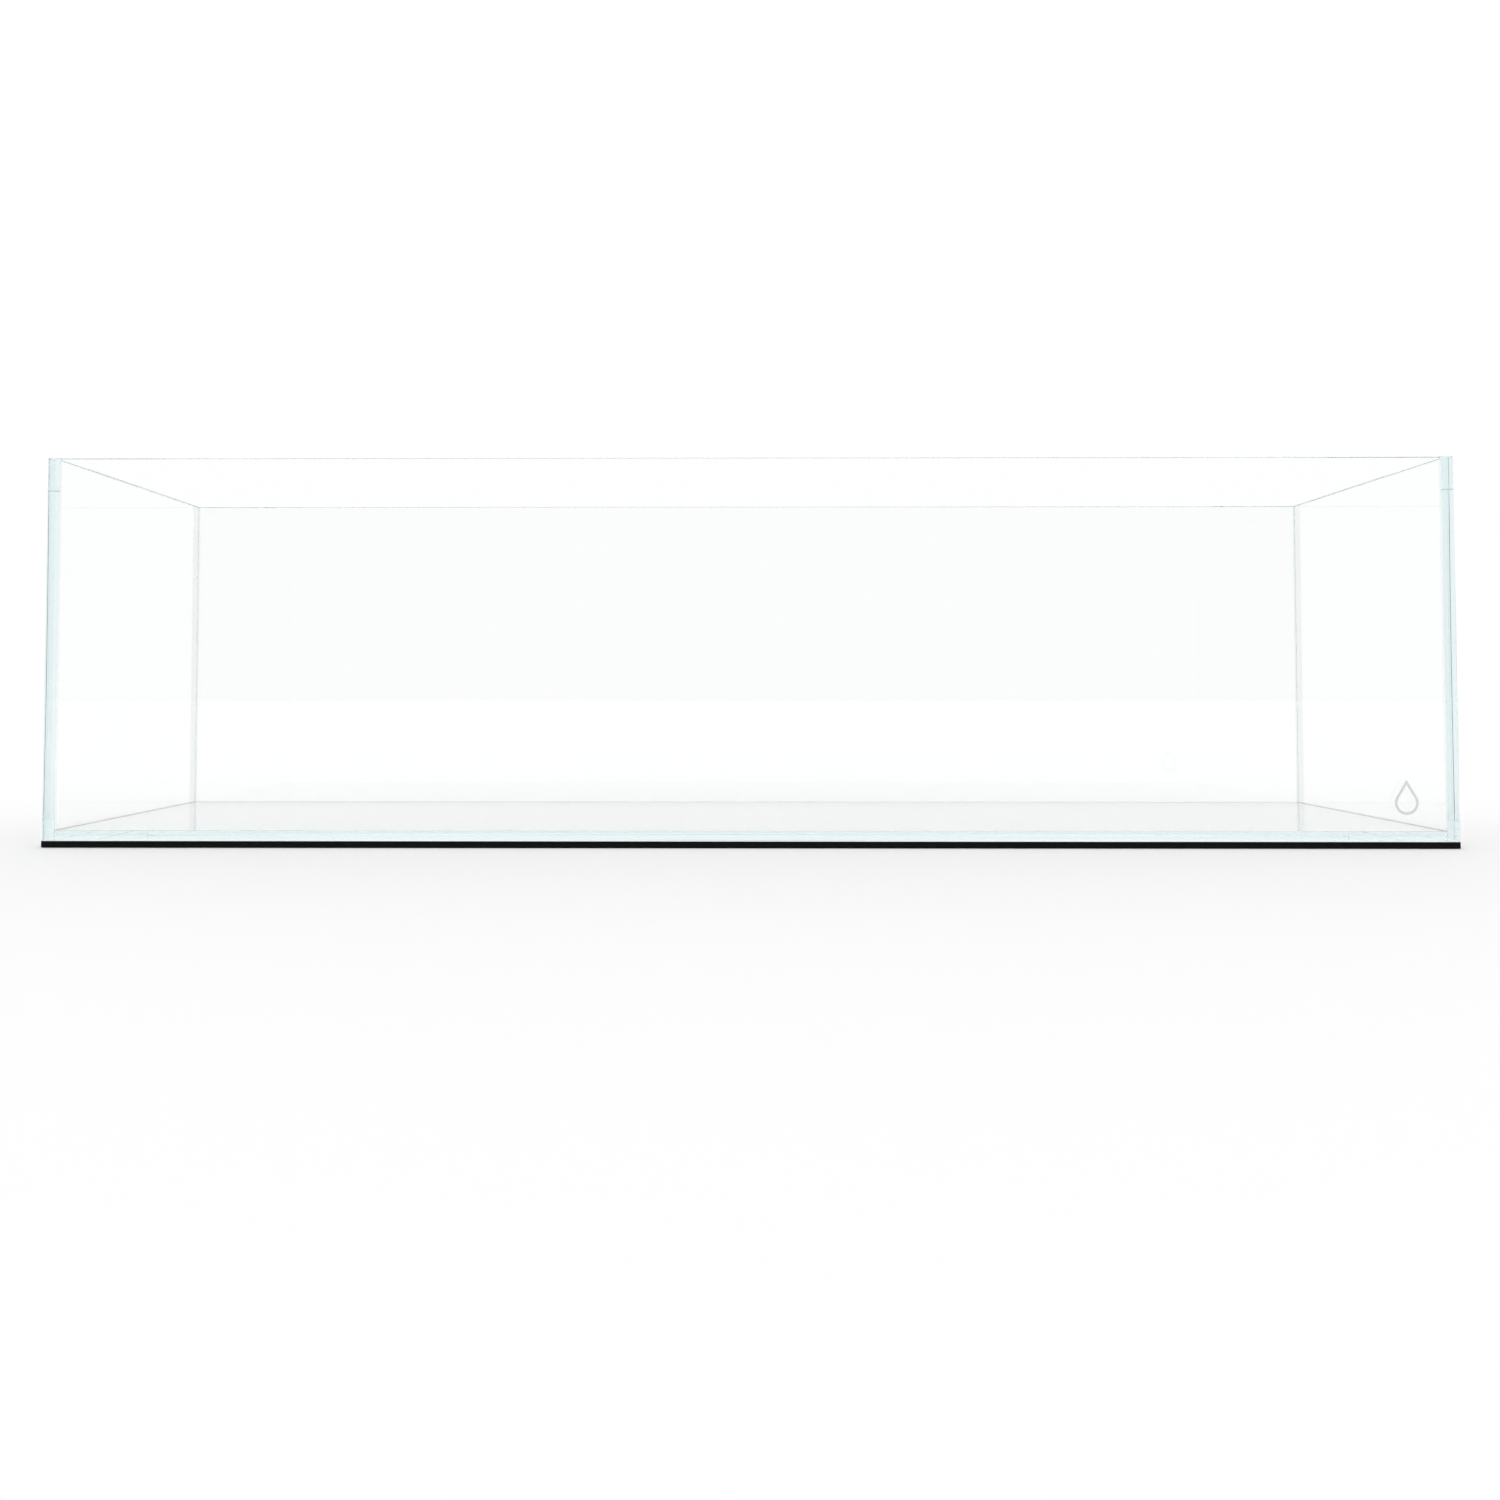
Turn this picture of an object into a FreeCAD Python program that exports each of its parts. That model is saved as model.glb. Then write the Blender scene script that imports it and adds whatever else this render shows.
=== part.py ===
"""Rimless low-iron glass aquarium tank on a thin levelling mat.

Frame, in millimetres: +Z is up and the front pane faces -Y, so +X is to the right of someone
looking at the front. The origin is the centre of the mat's underside.

Four walls meet at mitred corners, and the base panel sits inside them, level with their feet.
Every joint between two panes is a thin film of clear silicone with a small bead on the inside.
"""
import FreeCAD, Part
import math
import os

import Sketcher

# ---------------------------------------------------------------- driving dimensions, in mm

SIZES = (
    ("tank_width", 900, "outside of the left wall to outside of the right wall"),
    ("tank_depth", 210, "front face to back face"),
    ("tank_height", 245, "foot of the glass to the open rim"),
    ("glass_thick", 6, "every pane"),
    ("arris", 0.25, "flat ground on a pane's exposed edges"),
    ("bond_thick", 0.5, "silicone film between two panes"),
    ("corner_bead", 1.2, "reach of the inside bead along each wall at a corner"),
    ("base_bead", 1.0, "reach of the inside bead along the base"),
    ("base_rise", 0.25, "height of the same bead up the wall, wiped almost flush"),
    ("bead_hollow", 4, "radius of the beads' tooled, hollow face"),
    ("mat_thick", 4.3, "levelling mat"),
    ("mat_border", 0.5, "mat beyond the glass on every side"),
    ("mat_corner", 1.5, "radius of the mat's cut corners"),
    ("mark_height", 22, "printed drop, foot to tip"),
    ("mark_radius", 7.5, "round end of the printed drop, to the outside of its line"),
    ("mark_line", 1.6, "width of the drop's printed line"),
    ("mark_from_side", 33.5, "middle of the drop to the right wall's outside"),
    ("mark_from_foot", 17, "foot of the drop to the foot of the glass"),
    ("ink_thick", 0.1, "printed enamel on the front pane"),
)

UP = FreeCAD.Vector(0, 0, 1)

# Each wall: the turn that brings its length from along X to its place, and the side it is on.
WALLS = {
    "front": (0, 0, -1),
    "right": (90, 1, 0),
    "back": (180, 0, 1),
    "left": (270, -1, 0),
}

# Each upright corner: the turn of its profile, and its two sides.
CORNERS = {
    "front_left": (0, -1, -1),
    "front_right": (90, 1, -1),
    "back_right": (180, 1, 1),
    "back_left": (270, -1, 1),
}

# Distance from an ideal corner to where a mitred face leaves the outer face, and the depth
# along each axis of the arris on that edge.
MITRE_BACK = "Sizes.bond_thick / sqrt(2)"
TIP_DEPTH = "Sizes.arris / sqrt(2)"


def make_sheet(doc):
    """The sheet of driving dimensions, one row each: alias, value, meaning."""
    sheet = doc.addObject("Spreadsheet::Sheet", "Sizes")
    for row, (alias, value, meaning) in enumerate(SIZES, start=1):
        sheet.set(f"A{row}", alias)
        sheet.set(f"B{row}", str(value))
        sheet.set(f"C{row}", meaning)
        sheet.setAlias(f"B{row}", alias)
    doc.recompute()
    return sheet


# ---------------------------------------------------------------- shared drawing steps


def new_body(doc, label):
    body = doc.addObject("PartDesign::Body", label)
    body.Label = label
    return body


def new_sketch(body, name, role, lift="0"):
    """An empty sketch on one of the body's own origin planes, raised by the formula lift."""
    plane = next(f for f in body.Origin.OriginFeatures if f.Role == role)
    sketch = body.newObject("Sketcher::SketchObject", f"{body.Name}_{name}")
    sketch.AttachmentSupport = [(plane, "")]
    sketch.MapMode = "FlatFace"
    sketch.setExpression("AttachmentOffset.Base.z", lift)
    return sketch


def bind(sketch, constraint, formula):
    """Add one dimension to the sketch and tie it to the sheet through the formula."""
    index = sketch.addConstraint(constraint)
    name = f"dim{index}"
    sketch.renameConstraint(index, name)
    sketch.setExpression(f"Constraints.{name}", formula)


def value(sketch, formula):
    return float(sketch.evalExpression(formula))


def hollow_arc(start, end, radius):
    """The short arc that bulges to the left of the way from start to end, drawn end to start."""
    chord = end - start
    middle = (start + end) * 0.5
    rise = math.sqrt(radius**2 - (chord.Length / 2) ** 2)
    centre = middle + FreeCAD.Vector(chord.y, -chord.x, 0).normalize() * rise
    to_end = end - centre
    to_start = start - centre
    angle_end = math.atan2(to_end.y, to_end.x)
    angle_start = math.atan2(to_start.y, to_start.x)
    return Part.ArcOfCircle(Part.Circle(centre, UP, radius), angle_end, angle_start)


def draw_outline(sketch, corners, hollow_side=None):
    """A closed outline, anticlockwise, through corners given as pairs of formulas.

    Side i runs from corner i to the next. The side numbered hollow_side is an arc that curves
    into the outline, with the radius bead_hollow, and the others are straight.
    """
    first = sketch.GeometryCount
    points = [FreeCAD.Vector(value(sketch, x), value(sketch, y), 0) for x, y in corners]
    ends = []
    for side, start in enumerate(points):
        end = points[(side + 1) % len(points)]
        if side == hollow_side:
            radius = value(sketch, "Sizes.bead_hollow")
            sketch.addGeometry(hollow_arc(start, end, radius), False)
            ends.append((2, 1))
        else:
            sketch.addGeometry(Part.LineSegment(start, end), False)
            ends.append((1, 2))
    for side in range(len(points)):
        after = (side + 1) % len(points)
        joint = (first + side, ends[side][1], first + after, ends[after][0])
        sketch.addConstraint(Sketcher.Constraint("Coincident", *joint))
    for side, ((x, y), point) in enumerate(zip(corners, points)):
        corner = (-1, 1, first + side, ends[side][0])
        bind(sketch, Sketcher.Constraint("DistanceX", *corner, point.x), x)
        bind(sketch, Sketcher.Constraint("DistanceY", *corner, point.y), y)
    if hollow_side is not None:
        arc = first + hollow_side
        bind(sketch, Sketcher.Constraint("Radius", arc, radius), "Sizes.bead_hollow")


def draw_rectangle(sketch, length, width):
    """A rectangle centred on the sketch's origin."""
    right, far = f"({length}) / 2", f"({width}) / 2"
    left, near = f"-{right}", f"-{far}"
    draw_outline(sketch, [(left, near), (right, near), (right, far), (left, far)])


def pad(body, sketch, length, symmetric=False):
    feature = body.newObject("PartDesign::Pad", f"{sketch.Name}_pad")
    feature.Profile = sketch
    feature.SideType = "Symmetric" if symmetric else "One side"
    feature.setExpression("Length", length)
    body.Document.recompute()
    return feature


def chamfer(body, base, wanted):
    """Grind the arris on each edge of base for which wanted(edge) is true."""
    names = [f"Edge{n}" for n, edge in enumerate(base.Shape.Edges, start=1) if wanted(edge)]
    feature = body.newObject("PartDesign::Chamfer", f"{body.Name}_arris")
    feature.Base = (base, names)
    feature.setExpression("Size", "Sizes.arris")
    return feature


def runs_along(edge, axis):
    start, end = edge.Vertexes[0].Point, edge.Vertexes[-1].Point
    return abs(getattr((end - start).normalize(), axis)) > 0.99


def place(body, turn, x, y, z="Sizes.mat_thick"):
    """Turn the body about Z, then tie its position to the sheet. z defaults to the glass's foot."""
    body.Placement = FreeCAD.Placement(FreeCAD.Vector(), FreeCAD.Rotation(UP, turn))
    body.setExpression("Placement.Base.x", x)
    body.setExpression("Placement.Base.y", y)
    body.setExpression("Placement.Base.z", z)


def place_on_wall(body, wall, inset):
    """Put a body at the middle of a wall's foot, inset from the wall's outer face."""
    turn, side_x, side_y = WALLS[wall]
    x = f"{side_x} * (Sizes.tank_width / 2 - {inset})"
    y = f"{side_y} * (Sizes.tank_depth / 2 - {inset})"
    place(body, turn, x, y)


def wall_length(wall):
    return "Sizes.tank_width" if WALLS[wall][1] == 0 else "Sizes.tank_depth"


# ---------------------------------------------------------------- the pieces


def make_mat(doc):
    """The levelling mat: a sheet of foam cut a little larger than the tank."""
    body = new_body(doc, "levelling_mat")
    sketch = new_sketch(body, "outline", "XY_Plane")
    border = "2 * Sizes.mat_border"
    draw_rectangle(sketch, f"Sizes.tank_width + {border}", f"Sizes.tank_depth + {border}")
    sheet = pad(body, sketch, "Sizes.mat_thick")
    edges = enumerate(sheet.Shape.Edges, start=1)
    fillet = body.newObject("PartDesign::Fillet", "mat_corners")
    fillet.Base = (sheet, [f"Edge{n}" for n, edge in edges if runs_along(edge, "z")])
    fillet.setExpression("Radius", "Sizes.mat_corner")
    place(body, 0, "0", "0", "0")
    return body


def make_wall(doc, wall):
    """One wall, drawn with its outer face on the XZ plane and its ends mitred at 45 degrees."""
    body = new_body(doc, f"{wall}_panel")
    sketch = new_sketch(body, "plan", "XY_Plane")
    outer = f"{wall_length(wall)} / 2 - {MITRE_BACK}"
    inner = f"{outer} - Sizes.glass_thick"
    thick = "Sizes.glass_thick"
    draw_outline(
        sketch, [(f"-({outer})", "0"), (outer, "0"), (inner, thick), (f"-({inner})", thick)]
    )
    pane = pad(body, sketch, "Sizes.tank_height")

    def ground(edge):
        upright_tip = runs_along(edge, "z") and abs(edge.BoundBox.YMax) < 0.001
        return runs_along(edge, "x") or upright_tip

    chamfer(body, pane, ground)
    place_on_wall(body, wall, "0")
    return body


def make_base(doc):
    """The base panel, inside the walls and level with their feet."""
    body = new_body(doc, "base_panel")
    sketch = new_sketch(body, "plan", "XY_Plane")
    taken = "2 * (Sizes.glass_thick + Sizes.bond_thick)"
    draw_rectangle(sketch, f"Sizes.tank_width - {taken}", f"Sizes.tank_depth - {taken}")
    pane = pad(body, sketch, "Sizes.glass_thick")
    chamfer(body, pane, lambda edge: True)
    place(body, 0, "0", "0")
    return body


def make_corner_seam(doc, corner):
    """The silicone in one upright corner, drawn from the ideal outer corner of the tank.

    The film lies between the two mitred faces, and the bead fills the inside of the corner
    above the base's own bead.
    """
    turn, side_x, side_y = CORNERS[corner]
    body = new_body(doc, f"corner_seam_{corner}")
    thick = "Sizes.glass_thick"
    tip = (f"{MITRE_BACK} + {TIP_DEPTH}", TIP_DEPTH)
    gap = (f"{MITRE_BACK} + {thick}", thick)
    film = new_sketch(body, "film", "XY_Plane", "Sizes.arris")
    draw_outline(film, [tip, gap, (thick, thick), gap[::-1], tip[::-1]])
    pad(body, film, "Sizes.tank_height - 2 * Sizes.arris")

    bead_foot = f"{thick} + Sizes.base_rise"
    reach = f"{thick} + Sizes.corner_bead"
    bead = new_sketch(body, "bead", "XY_Plane", bead_foot)
    draw_outline(bead, [(thick, thick), (reach, thick), (thick, reach)], hollow_side=1)
    pad(body, bead, f"Sizes.tank_height - Sizes.arris - ({bead_foot})")
    place(body, turn, f"{side_x} * Sizes.tank_width / 2", f"{side_y} * Sizes.tank_depth / 2")
    return body


def make_base_seam(doc, wall):
    """The silicone between the base and one wall, with 45 degree ends that meet its neighbours.

    Its section is drawn with 0 on the wall's inner face and on the glass's foot: a film beside
    the base's edge, and a hollow bead from the base's top up the wall.
    """
    body = new_body(doc, f"base_seam_{wall}")
    bond, arris, reach = "Sizes.bond_thick", "Sizes.arris", "Sizes.base_bead"
    thick = "Sizes.glass_thick"
    section = new_sketch(body, "section", "YZ_Plane")
    draw_outline(
        section,
        [
            ("0", arris),
            (bond, arris),
            (bond, f"{thick} - {arris}"),
            (f"{bond} + {arris}", thick),
            (reach, thick),
            ("0", f"{thick} + Sizes.base_rise"),
        ],
        hollow_side=4,
    )
    length = f"{wall_length(wall)} - 2 * {thick}"
    run = pad(body, section, length, symmetric=True)

    mitres = new_sketch(body, "mitres", "XY_Plane")
    end = f"({length}) / 2"
    draw_outline(mitres, [(end, "0"), (end, reach), (f"{end} - {reach}", reach)])
    draw_outline(mitres, [(f"-{end}", "0"), (f"-{end} + {reach}", reach), (f"-{end}", reach)])
    cut = body.newObject("PartDesign::Pocket", f"{body.Name}_mitre_cut")
    cut.Profile = mitres
    cut.Type = "ThroughAll"
    cut.Reversed = True
    doc.recompute()
    if not cut.Shape.Volume < run.Shape.Volume:
        raise RuntimeError(f"{body.Label}: its ends weren't mitred")
    place_on_wall(body, wall, thick)
    return body


def draw_drop(sketch, radius, tip):
    """A drop's outline: a round end about a centre mark_radius up, and two sides to the tip.

    tip is the distance from that centre to the point where the two straight sides meet.
    """
    first = sketch.GeometryCount
    r, reach = value(sketch, radius), value(sketch, tip)
    centre = FreeCAD.Vector(0, value(sketch, "Sizes.mark_radius"), 0)
    lean = math.acos(r / reach)
    right, left = math.pi / 2 - lean, math.pi / 2 + lean
    touch_right = centre + FreeCAD.Vector(r * math.cos(right), r * math.sin(right), 0)
    touch_left = centre + FreeCAD.Vector(r * math.cos(left), r * math.sin(left), 0)
    top = centre + FreeCAD.Vector(0, reach, 0)
    arc = Part.ArcOfCircle(Part.Circle(centre, UP, r), left, right + 2 * math.pi)
    sketch.addGeometry([arc, Part.LineSegment(touch_right, top), Part.LineSegment(top, touch_left)])
    round_end, side, other = first, first + 1, first + 2
    sketch.addConstraint(Sketcher.Constraint("Tangent", round_end, 2, side, 1))
    sketch.addConstraint(Sketcher.Constraint("Coincident", side, 2, other, 1))
    sketch.addConstraint(Sketcher.Constraint("Tangent", other, 2, round_end, 1))
    sketch.addConstraint(Sketcher.Constraint("PointOnObject", round_end, 3, -2))
    sketch.addConstraint(Sketcher.Constraint("PointOnObject", side, 2, -2))
    up = (-1, 1, round_end, 3)
    bind(sketch, Sketcher.Constraint("DistanceY", *up, centre.y), "Sizes.mark_radius")
    bind(sketch, Sketcher.Constraint("Radius", round_end, r), radius)
    bind(sketch, Sketcher.Constraint("DistanceY", round_end, 3, side, 2, reach), tip)


def make_mark(doc):
    """A plain drop outline printed on the front pane's outer face, low on the right."""
    body = new_body(doc, "printed_mark")
    sketch = new_sketch(body, "drop", "XZ_Plane")
    outer_tip = "Sizes.mark_height - Sizes.mark_radius"
    inner_radius = "Sizes.mark_radius - Sizes.mark_line"
    draw_drop(sketch, "Sizes.mark_radius", outer_tip)
    draw_drop(sketch, inner_radius, f"({outer_tip}) * ({inner_radius}) / Sizes.mark_radius")
    pad(body, sketch, "Sizes.ink_thick")
    place(
        body,
        0,
        "Sizes.tank_width / 2 - Sizes.mark_from_side",
        "-Sizes.tank_depth / 2",
        "Sizes.mat_thick + Sizes.mark_from_foot",
    )
    return body


# ---------------------------------------------------------------- build, check and write


def check(doc, pieces):
    """Stop if any object failed, or if a piece's shape is missing, invalid or not one solid."""
    for thing in doc.Objects:
        if "Invalid" in thing.State or "Error" in thing.State:
            raise RuntimeError(f"{thing.Label} failed: {thing.State}")
    for piece in pieces:
        shape = piece.Shape
        if shape.isNull() or not shape.isValid() or len(shape.Solids) != 1:
            raise RuntimeError(f"{piece.Label} isn't one valid solid")


def main():
    doc = FreeCAD.newDocument("aquarium_tank")
    make_sheet(doc)
    pieces = [make_mat(doc), make_base(doc)]
    pieces += [make_wall(doc, wall) for wall in WALLS]
    pieces += [make_corner_seam(doc, corner) for corner in CORNERS]
    pieces += [make_base_seam(doc, wall) for wall in WALLS]
    pieces.append(make_mark(doc))
    doc.recompute()
    check(doc, pieces)

    os.makedirs("parts", exist_ok=True)
    for piece in pieces:
        piece.Shape.exportStep(f"parts/{piece.Label}.step")
        box = piece.Shape.BoundBox
        print(f"{piece.Label}: {piece.Shape.Volume:.1f} mm3, z {box.ZMin:.2f} to {box.ZMax:.2f}")


main()
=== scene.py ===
"""Looks of a rimless glass aquarium tank: its materials, silicone, foam mat, studio and camera.

Everything is in metres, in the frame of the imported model: +Z up, the front pane facing -Y.
"""
import math

import bpy
import numpy as np
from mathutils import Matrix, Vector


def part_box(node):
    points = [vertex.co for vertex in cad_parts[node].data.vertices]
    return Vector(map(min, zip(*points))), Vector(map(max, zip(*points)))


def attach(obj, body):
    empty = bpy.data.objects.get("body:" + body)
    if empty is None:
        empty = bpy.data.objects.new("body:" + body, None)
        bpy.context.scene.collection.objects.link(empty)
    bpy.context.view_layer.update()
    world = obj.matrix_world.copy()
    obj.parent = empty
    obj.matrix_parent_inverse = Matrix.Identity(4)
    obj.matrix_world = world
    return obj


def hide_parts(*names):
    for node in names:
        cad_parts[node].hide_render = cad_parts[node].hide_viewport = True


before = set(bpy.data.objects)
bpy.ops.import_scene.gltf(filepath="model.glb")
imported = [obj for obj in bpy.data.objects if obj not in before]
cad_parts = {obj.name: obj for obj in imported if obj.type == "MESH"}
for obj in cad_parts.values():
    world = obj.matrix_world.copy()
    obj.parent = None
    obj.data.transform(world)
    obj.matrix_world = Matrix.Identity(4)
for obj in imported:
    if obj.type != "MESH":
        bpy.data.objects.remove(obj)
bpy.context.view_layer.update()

MM = 0.001

# ---------------------------------------------------------------- sizes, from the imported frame

front_low, front_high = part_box("front_panel")
back_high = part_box("back_panel")[1]
right_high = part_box("right_panel")[1]
base_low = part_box("base_panel")[0]
mat_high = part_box("levelling_mat")[1]

GLASS = front_high.y - front_low.y
FOOT = front_low.z
HALF_WIDTH = right_high.x
HALF_DEPTH = back_high.y
BOND = base_low.y - front_high.y
ARRIS = 0.25 * MM

CORNER_BEAD = 1.2 * MM
BASE_BEAD = 1.0 * MM
BASE_RISE = 0.25 * MM
BEAD_HOLLOW = 4.0 * MM
ARC_POINTS = 9

# Silicone reaches this far into the glass, so that light passes from one to the other with no
# air between them.
WETTED = 0.03 * MM

# The foam's top lies this far under the glass inside its edge, which leaves a film of air.
PRESSED = 0.05 * MM
MAT_CORNER = 1.5 * MM
MAT_STEP = 2.5 * MM
FILM = 0.15 * MM

# The product of a face's normal along X and along Y is 0.5 on a mitre and 0 on a pane's face.
MITRED = 0.4

# Brightness of the tent behind the tank and on the side it is seen from, and what its top adds.
TENT_BACK = 1.02
TENT_FRONT = 0.75
TENT_TOP = 0.22

FLOOR_REACH = 12.0
FLOOR_DROP = 0.2 * MM


# ---------------------------------------------------------------- meshes


def piece_from_grid(name, grid, material, body, bonded=None, bonded_ends=False):
    """A closed piece from a grid of points, stations by places around, in metres.

    Neighbouring points make four-sided faces, the last place around joins the first, and one
    face closes each end. Faces are turned outward by the sign of the mesh's volume. bonded says,
    for each side of the outline, whether it is stuck to glass, and its faces get that as the
    attribute "bonded". bonded_ends says it of the two ends.
    """
    stations, around = grid.shape[:2]
    index = np.arange(stations * around).reshape(stations, around)
    beside = np.roll(index, -1, axis=1)
    quads = np.stack([index[:-1], beside[:-1], beside[1:], index[1:]], axis=-1).reshape(-1, 4)
    triangles = np.concatenate([quads[:, [0, 1, 2]], quads[:, [0, 2, 3]]])
    points = grid.reshape(-1, 3)
    ends = [index[0, ::-1], index[-1]]
    for end in ends:
        fan = np.stack([np.repeat(end[0], around - 2), end[1:-1], end[2:]], axis=-1)
        triangles = np.concatenate([triangles, fan])
    a, b, c = (points[triangles[:, i]] for i in range(3))
    if np.einsum("ij,ij->i", a, np.cross(b, c)).sum() < 0:
        quads = quads[:, ::-1]
        ends = [end[::-1] for end in ends]
    mesh = bpy.data.meshes.new(name)
    mesh.from_pydata(points.tolist(), [], quads.tolist() + [end.tolist() for end in ends])
    mesh.shade_smooth()
    mesh.set_sharp_from_angle(angle=math.radians(30))
    if bonded is not None:
        stuck = np.append(np.tile(bonded, stations - 1), [bonded_ends, bonded_ends])
        attribute = mesh.attributes.new("bonded", "FLOAT", "FACE")
        attribute.data.foreach_set("value", stuck.astype(np.float32))
    mesh.materials.append(material)
    piece = bpy.data.objects.new(name, mesh)
    bpy.context.scene.collection.objects.link(piece)
    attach(piece, body)
    return piece


def wander(length, waves, seed):
    """A smooth, uneven line between -1 and 1: the mean of sines, one for each wavelength.

    length is an array of distances and waves the wavelengths, in metres. The seed sets the
    sines' phases.
    """
    phases = np.random.default_rng(seed).uniform(0, 2 * math.pi, len(waves))
    turns = length[..., None] * (2 * math.pi / np.array(waves)) + phases
    return np.sin(turns).mean(axis=-1)


def hollow(start, end, radius, count):
    """Points on circular arcs, one from each start to its end, that bow towards the origin.

    An arc's centre is on its chord's bisector, on the side away from the origin, and its points
    are equal turns about that centre.
    """
    chord = end - start
    half = np.linalg.norm(chord, axis=-1, keepdims=True) / 2
    along = chord / (2 * half)
    middle = (start + end) / 2
    away = np.stack([-along[..., 1], along[..., 0]], axis=-1)
    away *= np.sign((away * middle).sum(axis=-1, keepdims=True))
    centre = middle + away * np.sqrt(radius**2 - half**2)
    spread = np.arcsin(half / radius)
    turn = spread[..., None, :] * np.linspace(-1, 1, count)[:, None]
    across = np.cos(turn) * away[..., None, :]
    return centre[..., None, :] + radius * (np.sin(turn) * along[..., None, :] - across)


# ---------------------------------------------------------------- silicone


def corner_profiles(reach, beaded):
    """Plan outlines of one corner's silicone, one for each bead reach, from the ideal corner.

    The film runs between the two mitred faces, from the arrises on the outside to the inside.
    Where beaded is true it opens into the bead there, an arc from one inner face to the other,
    and elsewhere it ends in the square corner between those faces. The second value says which
    sides of the outline are bonded to glass.
    """
    back = BOND / math.sqrt(2) + WETTED * math.sqrt(2)
    tip = (ARRIS - WETTED) / math.sqrt(2)
    near = GLASS - WETTED
    rows = len(reach)

    def place(x, y):
        return np.broadcast_to(np.array([x, y]), (rows, 1, 2))

    foot = GLASS + reach
    start = np.stack([foot, np.full(rows, near)], axis=-1)
    end = start[:, ::-1]
    bead = hollow(start - GLASS, end - GLASS, BEAD_HOLLOW, ARC_POINTS) + GLASS
    leg = np.linspace(near + back, GLASS + WETTED, (ARC_POINTS + 1) // 2)
    square = np.stack([leg, np.full(len(leg), GLASS + WETTED)], axis=-1)
    square = np.concatenate([square, square[-2::-1, ::-1]])
    bead = np.where(beaded[:, None, None], bead, square)
    film_out = [place(tip + back, tip), place(near + back, near)]
    film_in = [place(near, near + back), place(tip, tip + back)]
    bonded = [1, 1] + [0] * (ARC_POINTS - 1) + [1, 1, 0]
    return np.concatenate(film_out + [bead] + film_in, axis=1), bonded


def corner_silicone(corner, side_x, side_y, seed, material):
    """The silicone in an upright corner: its plan outline carried up, with an uneven bead.

    The bead starts inside the bead along the base, and below that there is only the film.
    """
    low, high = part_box(f"corner_seam_{corner}")
    bead_foot = FOOT + GLASS + BASE_RISE / 2
    height = np.concatenate([[low.z, bead_foot - WETTED], np.linspace(bead_foot, high.z, 180)])
    reach = CORNER_BEAD * (1 + 0.12 * wander(height, (0.061, 0.023, 0.0093), seed))
    plan, bonded = corner_profiles(reach, height >= bead_foot)
    x = side_x * (HALF_WIDTH - plan[..., 0])
    y = side_y * (HALF_DEPTH - plan[..., 1])
    z = np.broadcast_to(height[:, None], x.shape)
    points = np.stack([x, y, z], axis=-1)
    name = f"silicone_corner_{corner}"
    piece = piece_from_grid(name, points, material, "tank", bonded)
    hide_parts(f"corner_seam_{corner}")


def base_profiles(reach, rise):
    """Sections of a base seam, one for each reach and rise: distance from the wall, and height.

    A film beside the base's edge, the fill of its top arris, and the hollow bead above. The
    second value says which sides of the section are bonded to glass.
    """
    rows = len(reach)

    def place(x, z):
        return np.broadcast_to(np.array([x, z]), (rows, 1, 2))

    start = np.stack([reach, np.full(rows, -WETTED)], axis=-1)
    end = np.stack([np.full(rows, -WETTED), rise], axis=-1)
    bead = hollow(start, end, BEAD_HOLLOW, ARC_POINTS) + np.array([0, GLASS])
    edge = BOND + WETTED
    corners = [
        place(-WETTED, ARRIS),
        place(edge, ARRIS),
        place(edge, GLASS - ARRIS - WETTED),
        place(edge + ARRIS, GLASS - WETTED),
    ]
    bonded = [0, 1, 1, 1] + [0] * (ARC_POINTS - 1) + [1]
    return np.concatenate(corners + [bead], axis=1), bonded


def base_silicone(wall, seed, material):
    """The silicone along one side of the base: its section carried along, with mitred ends.

    A point at distance d from the wall runs to d short of the inner corner at either end.
    """
    along_x = wall in ("front", "back")
    side = -1 if wall in ("front", "left") else 1
    half_run = (HALF_WIDTH if along_x else HALF_DEPTH) - GLASS
    share = np.linspace(-1, 1, 700 if along_x else 180)
    uneven = wander(share * half_run, (0.083, 0.031, 0.0117), seed)
    reach = BASE_BEAD + (BASE_BEAD - BOND - ARRIS) / 2 * uneven
    section, bonded = base_profiles(reach, BASE_RISE * (1 + 0.1 * uneven))
    inward, up = section[..., 0], section[..., 1]
    run = share[:, None] * (half_run + WETTED - inward)
    across = side * ((HALF_DEPTH if along_x else HALF_WIDTH) - GLASS - inward)
    x, y = (run, across) if along_x else (across, run)
    points = np.stack([x, y, FOOT + up], axis=-1)
    name = f"silicone_base_{wall}"
    piece = piece_from_grid(name, points, material, "tank", bonded, True)
    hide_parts(f"base_seam_{wall}")


# ---------------------------------------------------------------- foam mat


def rounded_rectangle(half_x, half_y, radius, step):
    """Points round a rectangle with rounded corners, their outward normals, and the distance.

    Each side is a straight run and each corner a quarter circle, spaced about step apart.
    """
    points, normals = [], []
    for quarter in range(4):
        start = quarter * math.pi / 2
        turn = np.array([[math.cos(start), -math.sin(start)], [math.sin(start), math.cos(start)]])
        near, far = (half_x, half_y) if quarter % 2 == 0 else (half_y, half_x)
        straight = np.arange(-(far - radius), far - radius, step)
        points.append(np.stack([np.full(len(straight), near), straight], axis=-1) @ turn.T)
        normals.append(np.tile([1.0, 0.0], (len(straight), 1)) @ turn.T)
        angle = np.linspace(0, math.pi / 2, 7)[:-1]
        arc = np.stack([np.cos(angle), np.sin(angle)], axis=-1)
        centre = np.array([near - radius, far - radius])
        points.append((centre + radius * arc) @ turn.T)
        normals.append(arc @ turn.T)
    points, normals = np.concatenate(points), np.concatenate(normals)
    gaps = np.linalg.norm(points - np.roll(points, 1, axis=0), axis=1)
    return points, normals, np.cumsum(gaps)


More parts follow.
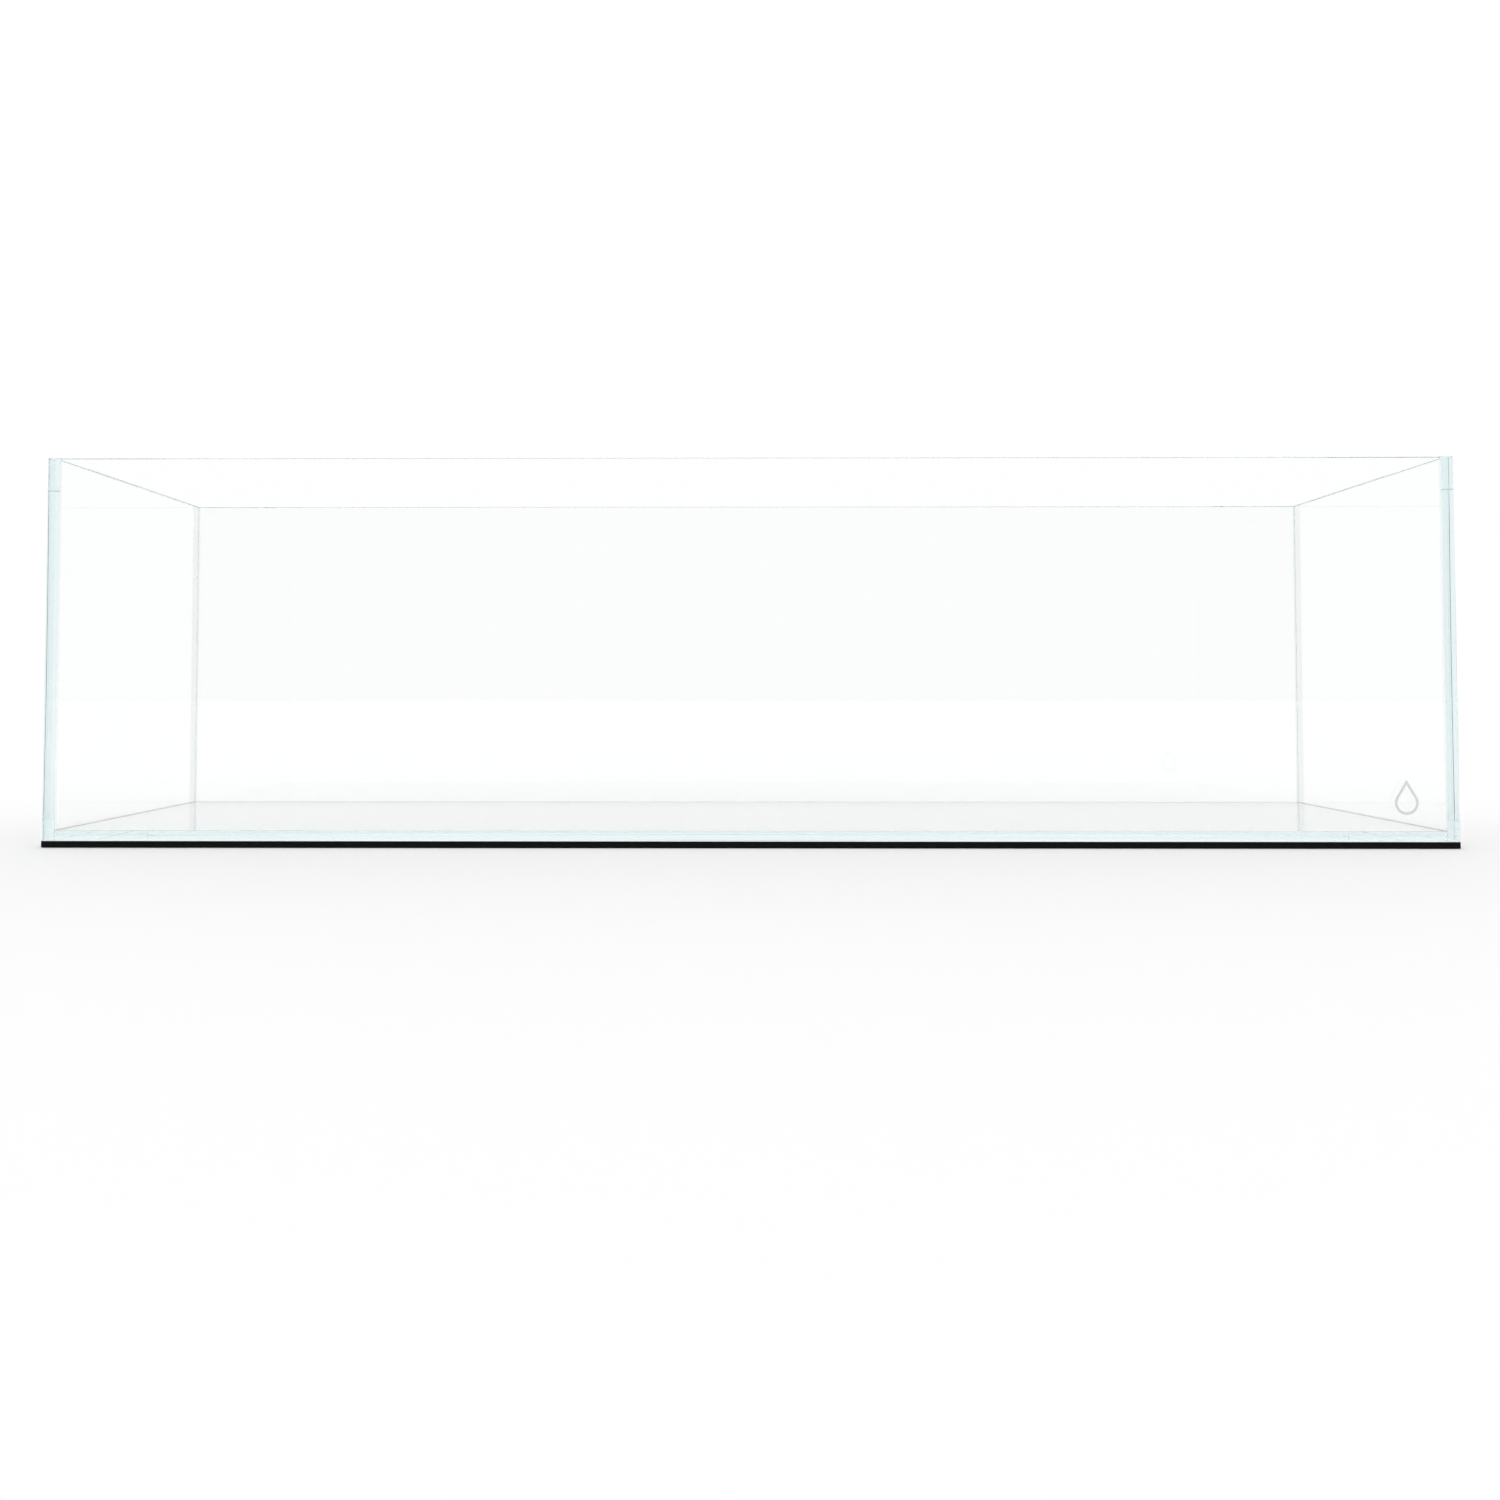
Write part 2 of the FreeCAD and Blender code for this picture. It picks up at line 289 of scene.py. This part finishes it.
def foam_mat(material):
    """The levelling mat: an edge profile carried round a rounded rectangle.

    Each point of the profile is an inset from the rectangle and a height. The cut edge wanders
    a little, as a knife leaves it, and the top is pressed down where the glass stands on it.
    """
    half_x, half_y = mat_high.x, mat_high.y
    points, normals, distance = rounded_rectangle(half_x, half_y, MAT_CORNER, MAT_STEP)
    thick = mat_high.z
    foot = [(0.9 * MM, 0), (0.3 * MM, 0), (0.08 * MM, 0.1 * MM)]
    cut_edge = [(0, z) for z in np.linspace(0.35 * MM, thick - 0.35 * MM, 7)]
    shoulder = [
        (0.08 * MM, thick - 0.1 * MM),
        (0.3 * MM, thick),
        (0.42 * MM, thick),
        (0.55 * MM, thick - 0.7 * PRESSED),
        (0.9 * MM, thick - PRESSED),
    ]
    inset, height = np.array(foot + cut_edge + shoulder).T
    drift = 0.05 * MM * (1 + wander(distance[None, :] + 3 * height[:, None], (0.047, 0.013), 5))
    drift[:2] = drift[-4:] = 0
    outline = points[None] - (inset[:, None] + drift)[..., None] * normals[None]
    z = np.broadcast_to(height[:, None], outline.shape[:2])
    grid = np.concatenate([outline, z[..., None]], axis=-1)
    piece = piece_from_grid("foam_levelling_mat", grid, material, "mat")
    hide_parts("levelling_mat")


# ---------------------------------------------------------------- materials


def linear(hex_colour):
    """An sRGB hex colour as linear red, green, blue and full alpha."""
    values = [int(hex_colour[i : i + 2], 16) / 255 for i in (1, 3, 5)]
    steps = [v / 12.92 if v <= 0.04045 else ((v + 0.055) / 1.055) ** 2.4 for v in values]
    return (*steps, 1.0)


def add(tree, kind, inputs=None, **settings):
    """Add a node, set its properties, and give each named input a value or a socket to read."""
    node = tree.nodes.new(kind)
    for name, setting in settings.items():
        setattr(node, name, setting)
    for socket, source in (inputs or {}).items():
        if isinstance(source, bpy.types.NodeSocket):
            tree.links.new(source, node.inputs[socket])
        else:
            node.inputs[socket].default_value = source
    return node


def new_material(name):
    """A material with an empty node tree and its output node."""
    material = bpy.data.materials.new(name)
    material.use_nodes = True
    material.node_tree.nodes.clear()
    return material, material.node_tree, add(material.node_tree, "ShaderNodeOutputMaterial")


def absorption(red, green, blue):
    """The colour and density of a Volume Absorption with these losses, per metre."""
    density = 4 * max(red, green, blue)
    return {
        "Color": (1 - red / density, 1 - green / density, 1 - blue / density, 1),
        "Density": density,
    }


def low_iron_float_glass():
    """Low-iron soda-lime float glass, 6 mm, with ground and polished edges.

    Clear face on, faintly blue-green through its length. Floated glass is flat to the eye but
    for long, very shallow draw waves, about 90 mm apart. The mitred faces are the only upright
    ones at 45 degrees. They are bonded to silicone, with no air between, so they hardly
    reflect, and the black tint there stands for that.
    """
    material, tree, output = new_material("low_iron_float_glass")
    place = add(tree, "ShaderNodeTexCoord").outputs["Object"]
    waves = add(
        tree,
        "ShaderNodeTexNoise",
        {"Vector": place, "Scale": 1 / (90 * MM), "Detail": 1.0, "Roughness": 0.4},
    )
    bump = add(
        tree,
        "ShaderNodeBump",
        {"Height": waves.outputs["Fac"], "Strength": 1.0, "Distance": 0.02 * MM},
    )
    normal = add(tree, "ShaderNodeNewGeometry").outputs["True Normal"]
    sides = add(tree, "ShaderNodeSeparateXYZ", {"Vector": normal})
    both = add(
        tree,
        "ShaderNodeMath",
        {0: sides.outputs["X"], 1: sides.outputs["Y"]},
        operation="MULTIPLY",
    )
    turned = add(tree, "ShaderNodeMath", {0: both.outputs["Value"]}, operation="ABSOLUTE")
    mitred = add(
        tree,
        "ShaderNodeMath",
        {0: turned.outputs["Value"], 1: MITRED},
        operation="GREATER_THAN",
    )
    reflects = add(
        tree,
        "ShaderNodeMix",
        {"Factor": mitred.outputs["Value"], "A": linear("#ffffff"), "B": linear("#000000")},
        data_type="RGBA",
    )
    surface = add(
        tree,
        "ShaderNodeBsdfPrincipled",
        {
            "Base Color": (1, 1, 1, 1),
            "Roughness": 0.0,
            "IOR": 1.52,
            "Specular Tint": reflects.outputs["Result"],
            "Transmission Weight": 1.0,
            "Normal": bump.outputs["Normal"],
        },
    )
    depth = add(tree, "ShaderNodeVolumeAbsorption", absorption(0.78, 0.3, 0.27))
    tree.links.new(surface.outputs["BSDF"], output.inputs["Surface"])
    tree.links.new(depth.outputs["Volume"], output.inputs["Volume"])
    return material


def clear_silicone():
    """Clear acetoxy-cure silicone sealant, run as a bead and tooled with a wet finger.

    Clear and still where it is bonded to glass, and with no air there it hardly reflects, which
    the black tint stands for. Its free face is glossy, very slightly blue-green, and has fine
    ripples about 2 mm apart from the tooling.
    """
    material, tree, output = new_material("clear_cured_silicone")
    place = add(tree, "ShaderNodeTexCoord").outputs["Object"]
    ripples = add(
        tree,
        "ShaderNodeTexNoise",
        {"Vector": place, "Scale": 1 / (2 * MM), "Detail": 2.0, "Roughness": 0.5},
    )
    bonded = add(tree, "ShaderNodeAttribute", attribute_name="bonded").outputs["Fac"]
    tooled = add(tree, "ShaderNodeMix", {"Factor": bonded, "A": 0.6, "B": 0.0})
    bump = add(
        tree,
        "ShaderNodeBump",
        {
            "Height": ripples.outputs["Fac"],
            "Strength": tooled.outputs["Result"],
            "Distance": 0.02 * MM,
        },
    )
    skin = add(
        tree,
        "ShaderNodeMix",
        {"Factor": bonded, "A": linear("#e6f3f3"), "B": linear("#ffffff")},
        data_type="RGBA",
    )
    reflects = add(
        tree,
        "ShaderNodeMix",
        {"Factor": bonded, "A": linear("#ffffff"), "B": linear("#000000")},
        data_type="RGBA",
    )
    roughness = add(tree, "ShaderNodeMix", {"Factor": bonded, "A": 0.1, "B": 0.0})
    surface = add(
        tree,
        "ShaderNodeBsdfPrincipled",
        {
            "Base Color": skin.outputs["Result"],
            "Roughness": roughness.outputs["Result"],
            "IOR": 1.41,
            "Specular Tint": reflects.outputs["Result"],
            "Transmission Weight": 1.0,
            "Normal": bump.outputs["Normal"],
        },
    )
    depth = add(tree, "ShaderNodeVolumeAbsorption", absorption(14, 9, 9))
    tree.links.new(surface.outputs["BSDF"], output.inputs["Surface"])
    tree.links.new(depth.outputs["Volume"], output.inputs["Volume"])
    return material


def closed_cell_foam():
    """Closed-cell polyethylene foam sheet with a guessed pale film laminated on its upper face.

    Near-black and matt. The cut edges show the sliced cells, about 0.6 mm across, as fine pits, with
    painted shade darkest at each pit's bottom.
    The film is smooth, with a faint mottle, and takes in all within FILM of the top. Its near-white is
    partly painted light.
    """
    material, tree, output = new_material("closed_cell_foam")
    place = add(tree, "ShaderNodeTexCoord").outputs["Object"]
    cells = add(
        tree, "ShaderNodeTexVoronoi", {"Vector": place, "Scale": 1 / (0.6 * MM)}, feature="F1"
    )
    mottle = add(
        tree,
        "ShaderNodeTexNoise",
        {"Vector": place, "Scale": 1 / (14 * MM), "Detail": 3.0, "Roughness": 0.6},
    )
    # Painted shade: the foam is darker towards the middle of each cell, where its pit is deepest.
    painted_pit_shade = add(
        tree,
        "ShaderNodeMix",
        {"Factor": cells.outputs["Distance"], "A": linear("#050606"), "B": linear("#121616")},
        data_type="RGBA",
    )
    foam = add(
        tree,
        "ShaderNodeMix",
        {"Factor": mottle.outputs["Fac"], "A": painted_pit_shade.outputs["Result"], "B": linear("#0b0e0f")},
        data_type="RGBA",
    )
    # Painted light, in part: the film's near-white is set so that the tank's floor, seen through the
    # base glass, reads as brightly lit.
    film_and_painted_brightness = add(
        tree,
        "ShaderNodeMix",
        {"Factor": mottle.outputs["Fac"], "A": linear("#f5f7f7"), "B": linear("#fbfcfc")},
        data_type="RGBA",
    )
    height = add(tree, "ShaderNodeSeparateXYZ", {"Vector": place}).outputs["Z"]
    on_top = add(
        tree,
        "ShaderNodeMath",
        {0: height, 1: mat_high.z - FILM},
        operation="GREATER_THAN",
    )
    colour = add(
        tree,
        "ShaderNodeMix",
        {
            "Factor": on_top.outputs["Value"],
            "A": foam.outputs["Result"],
            "B": film_and_painted_brightness.outputs["Result"],
        },
        data_type="RGBA",
    )
    pits = add(
        tree,
        "ShaderNodeMath",
        {0: cells.outputs["Distance"], 1: on_top.outputs["Value"]},
        operation="MAXIMUM",
    )
    bump = add(
        tree,
        "ShaderNodeBump",
        {"Height": pits.outputs["Value"], "Strength": 0.8, "Distance": 0.12 * MM},
    )
    surface = add(
        tree,
        "ShaderNodeBsdfPrincipled",
        {
            "Base Color": colour.outputs["Result"],
            "Roughness": 0.85,
            "IOR": 1.49,
            "Specular IOR Level": 0.15,
            "Normal": bump.outputs["Normal"],
        },
    )
    tree.links.new(surface.outputs["BSDF"], output.inputs["Surface"])
    return material


def screen_printed_enamel():
    """Light grey ceramic enamel, screen printed on the glass.

    Satin and thin, with the faint weave of the screen, threads about 0.25 mm apart.
    """
    material, tree, output = new_material("screen_printed_enamel")
    place = add(tree, "ShaderNodeTexCoord").outputs["Object"]
    grain = add(
        tree,
        "ShaderNodeTexNoise",
        {"Vector": place, "Scale": 1 / (0.25 * MM), "Detail": 2.0, "Roughness": 0.5},
    )
    colour = add(
        tree,
        "ShaderNodeMix",
        {"Factor": grain.outputs["Fac"], "A": linear("#dfe0e0"), "B": linear("#e9eaea")},
        data_type="RGBA",
    )
    bump = add(
        tree,
        "ShaderNodeBump",
        {"Height": grain.outputs["Fac"], "Strength": 0.5, "Distance": 0.02 * MM},
    )
    surface = add(
        tree,
        "ShaderNodeBsdfPrincipled",
        {
            "Base Color": colour.outputs["Result"],
            "Roughness": 0.45,
            "IOR": 1.5,
            "Normal": bump.outputs["Normal"],
        },
    )
    tree.links.new(surface.outputs["BSDF"], output.inputs["Surface"])
    return material


def backdrop_paper():
    """Seamless white backdrop paper, matt and plain."""
    material, tree, output = new_material("backdrop_paper")
    surface = add(
        tree,
        "ShaderNodeBsdfPrincipled",
        {"Base Color": linear("#fbfbfb"), "Roughness": 0.9, "Specular IOR Level": 0.0},
    )
    tree.links.new(surface.outputs["BSDF"], output.inputs["Surface"])
    return material


# ---------------------------------------------------------------- studio


def studio_floor():
    """A wide, flat paper floor, just under the mat."""
    corners = [(-1, -1), (1, -1), (1, 1), (-1, 1)]
    points = [(FLOOR_REACH * x, FLOOR_REACH * y, -FLOOR_DROP) for x, y in corners]
    mesh = bpy.data.meshes.new("paper_floor")
    mesh.from_pydata(points, [], [(0, 1, 2, 3)])
    mesh.materials.append(backdrop_paper())
    floor = bpy.data.objects.new("paper_floor", mesh)
    bpy.context.scene.collection.objects.link(floor)


def studio_light():
    """A white tent: brightest overhead, bright behind the tank, dimmer on the side it is seen from."""
    world = bpy.data.worlds.new("light_tent")
    bpy.context.scene.world = world
    world.use_nodes = True
    tree = world.node_tree
    tree.nodes.clear()
    toward = add(tree, "ShaderNodeTexCoord").outputs["Generated"]
    parts = add(tree, "ShaderNodeSeparateXYZ", {"Vector": toward})
    behind = add(
        tree,
        "ShaderNodeMapRange",
        {
            "Value": parts.outputs["Y"],
            "From Min": -0.9,
            "From Max": 0.4,
            "To Min": TENT_FRONT,
            "To Max": TENT_BACK,
        },
        interpolation_type="SMOOTHSTEP",
    )
    overhead = add(
        tree,
        "ShaderNodeMapRange",
        {
            "Value": parts.outputs["Z"],
            "From Min": 0.35,
            "From Max": 0.95,
            "To Min": 0.0,
            "To Max": TENT_TOP,
        },
        interpolation_type="SMOOTHSTEP",
    )
    strength = add(
        tree,
        "ShaderNodeMath",
        {0: behind.outputs["Result"], 1: overhead.outputs["Result"]},
        operation="ADD",
    )
    light = add(
        tree,
        "ShaderNodeBackground",
        {"Color": (1, 1, 1, 1), "Strength": strength.outputs["Value"]},
    )
    output = add(tree, "ShaderNodeOutputWorld")
    tree.links.new(light.outputs["Background"], output.inputs["Surface"])


def studio_camera():
    """A camera low in front of the tank, a little left of its middle and tilted slightly up."""
    lens = bpy.data.cameras.new("studio_camera")
    lens.sensor_width = 36.0
    lens.lens = 28.3
    lens.shift_x = 0.016
    lens.shift_y = -0.0627
    lens.clip_end = 100.0
    camera = bpy.data.objects.new("studio_camera", lens)
    camera.location = (-9.2 * MM, -HALF_DEPTH - 751 * MM, FOOT + 95 * MM)
    camera.rotation_euler = (math.radians(90 + 1.72), 0.0, math.radians(0.37))
    bpy.context.scene.collection.objects.link(camera)
    bpy.context.scene.camera = camera


studio_camera()
studio_floor()
studio_light()

glass = low_iron_float_glass()
for node in ("base_panel", "front_panel", "back_panel", "left_panel", "right_panel"):
    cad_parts[node].data.materials.clear()
    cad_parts[node].data.materials.append(glass)
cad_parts["printed_mark"].data.materials.clear()
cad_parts["printed_mark"].data.materials.append(screen_printed_enamel())

silicone = clear_silicone()
corners = {
    "front_left": (-1, -1),
    "front_right": (1, -1),
    "back_right": (1, 1),
    "back_left": (-1, 1),
}
for seed, (corner, (side_x, side_y)) in enumerate(corners.items(), start=11):
    corner_silicone(corner, side_x, side_y, seed, silicone)
for seed, wall in enumerate(("front", "right", "back", "left"), start=21):
    base_silicone(wall, seed, silicone)
foam_mat(closed_cell_foam())

scene = bpy.context.scene
scene.view_settings.view_transform = "Standard"
scene.cycles.max_bounces = 48
scene.cycles.transmission_bounces = 48
scene.cycles.glossy_bounces = 48
scene.cycles.diffuse_bounces = 4
# This blur loses some of the light that grazes through the glass to the floor, which darkens the
# floor round the tank like a soft shadow. More of it greys the tank's own floor too.
scene.cycles.blur_glossy = 0.25
